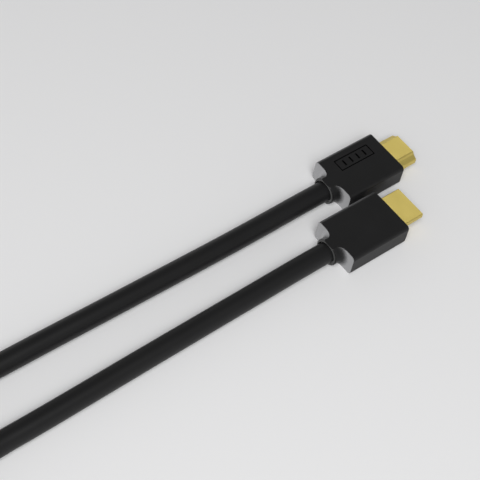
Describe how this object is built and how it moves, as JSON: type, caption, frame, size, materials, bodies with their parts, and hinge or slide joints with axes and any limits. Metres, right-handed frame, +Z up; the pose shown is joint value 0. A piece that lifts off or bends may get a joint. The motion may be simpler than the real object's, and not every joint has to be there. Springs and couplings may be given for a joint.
{
  "type": "hdmi cable",
  "caption": "Round black digital video cable with the same rectangular moulded plug and gold plated shell on both ends, spare length tied in a round coil.",
  "frame": {"origin": "on the floor, under the middle of the box around the two plugs", "axes": "+X along both plugs towards their mouths, +Y from plug b to plug a, +Z up from the floor"},
  "size_m": [0.31, 0.0986, 0.0213],
  "materials": {
    "overmould": "fine satin black moulded plastic",
    "shell_plating": "satin gold plated sheet metal",
    "insulator": "black moulded plastic",
    "contact_plating": "bright gold plated spring strip",
    "jacket": "smooth satin black cable jacket",
    "tie": "black hook and loop tape"
  },
  "bodies": {
    "root": {"plug_a_body": "overmould", "plug_a_shell": "shell_plating", "plug_a_insulator": "insulator", "plug_b_body": "overmould", "plug_b_shell": "shell_plating", "plug_b_insulator": "insulator", "plug_a_contact_wide_01": "contact_plating", "plug_a_contact_wide_02": "contact_plating", "plug_a_contact_wide_03": "contact_plating", "plug_a_contact_wide_04": "contact_plating", "plug_a_contact_wide_05": "contact_plating", "plug_a_contact_wide_06": "contact_plating", "plug_a_contact_wide_07": "contact_plating", "plug_a_contact_wide_08": "contact_plating", "plug_a_contact_wide_09": "contact_plating", "plug_a_contact_wide_10": "contact_plating", "plug_a_contact_narrow_01": "contact_plating", "plug_a_contact_narrow_02": "contact_plating", "plug_a_contact_narrow_03": "contact_plating", "plug_a_contact_narrow_04": "contact_plating", "plug_a_contact_narrow_05": "contact_plating", "plug_a_contact_narrow_06": "contact_plating", "plug_a_contact_narrow_07": "contact_plating", "plug_a_contact_narrow_08": "contact_plating", "plug_a_contact_narrow_09": "contact_plating", "plug_b_contact_wide_01": "contact_plating", "plug_b_contact_wide_02": "contact_plating", "plug_b_contact_wide_03": "contact_plating", "plug_b_contact_wide_04": "contact_plating", "plug_b_contact_wide_05": "contact_plating", "plug_b_contact_wide_06": "contact_plating", "plug_b_contact_wide_07": "contact_plating", "plug_b_contact_wide_08": "contact_plating", "plug_b_contact_wide_09": "contact_plating", "plug_b_contact_wide_10": "contact_plating", "plug_b_contact_narrow_01": "contact_plating", "plug_b_contact_narrow_02": "contact_plating", "plug_b_contact_narrow_03": "contact_plating", "plug_b_contact_narrow_04": "contact_plating", "plug_b_contact_narrow_05": "contact_plating", "plug_b_contact_narrow_06": "contact_plating", "plug_b_contact_narrow_07": "contact_plating", "plug_b_contact_narrow_08": "contact_plating", "plug_b_contact_narrow_09": "contact_plating", "cord_a": "jacket", "cord_b": "jacket", "cord_coil": "jacket", "cord_tie": "tie"}
  },
  "joints": []
}
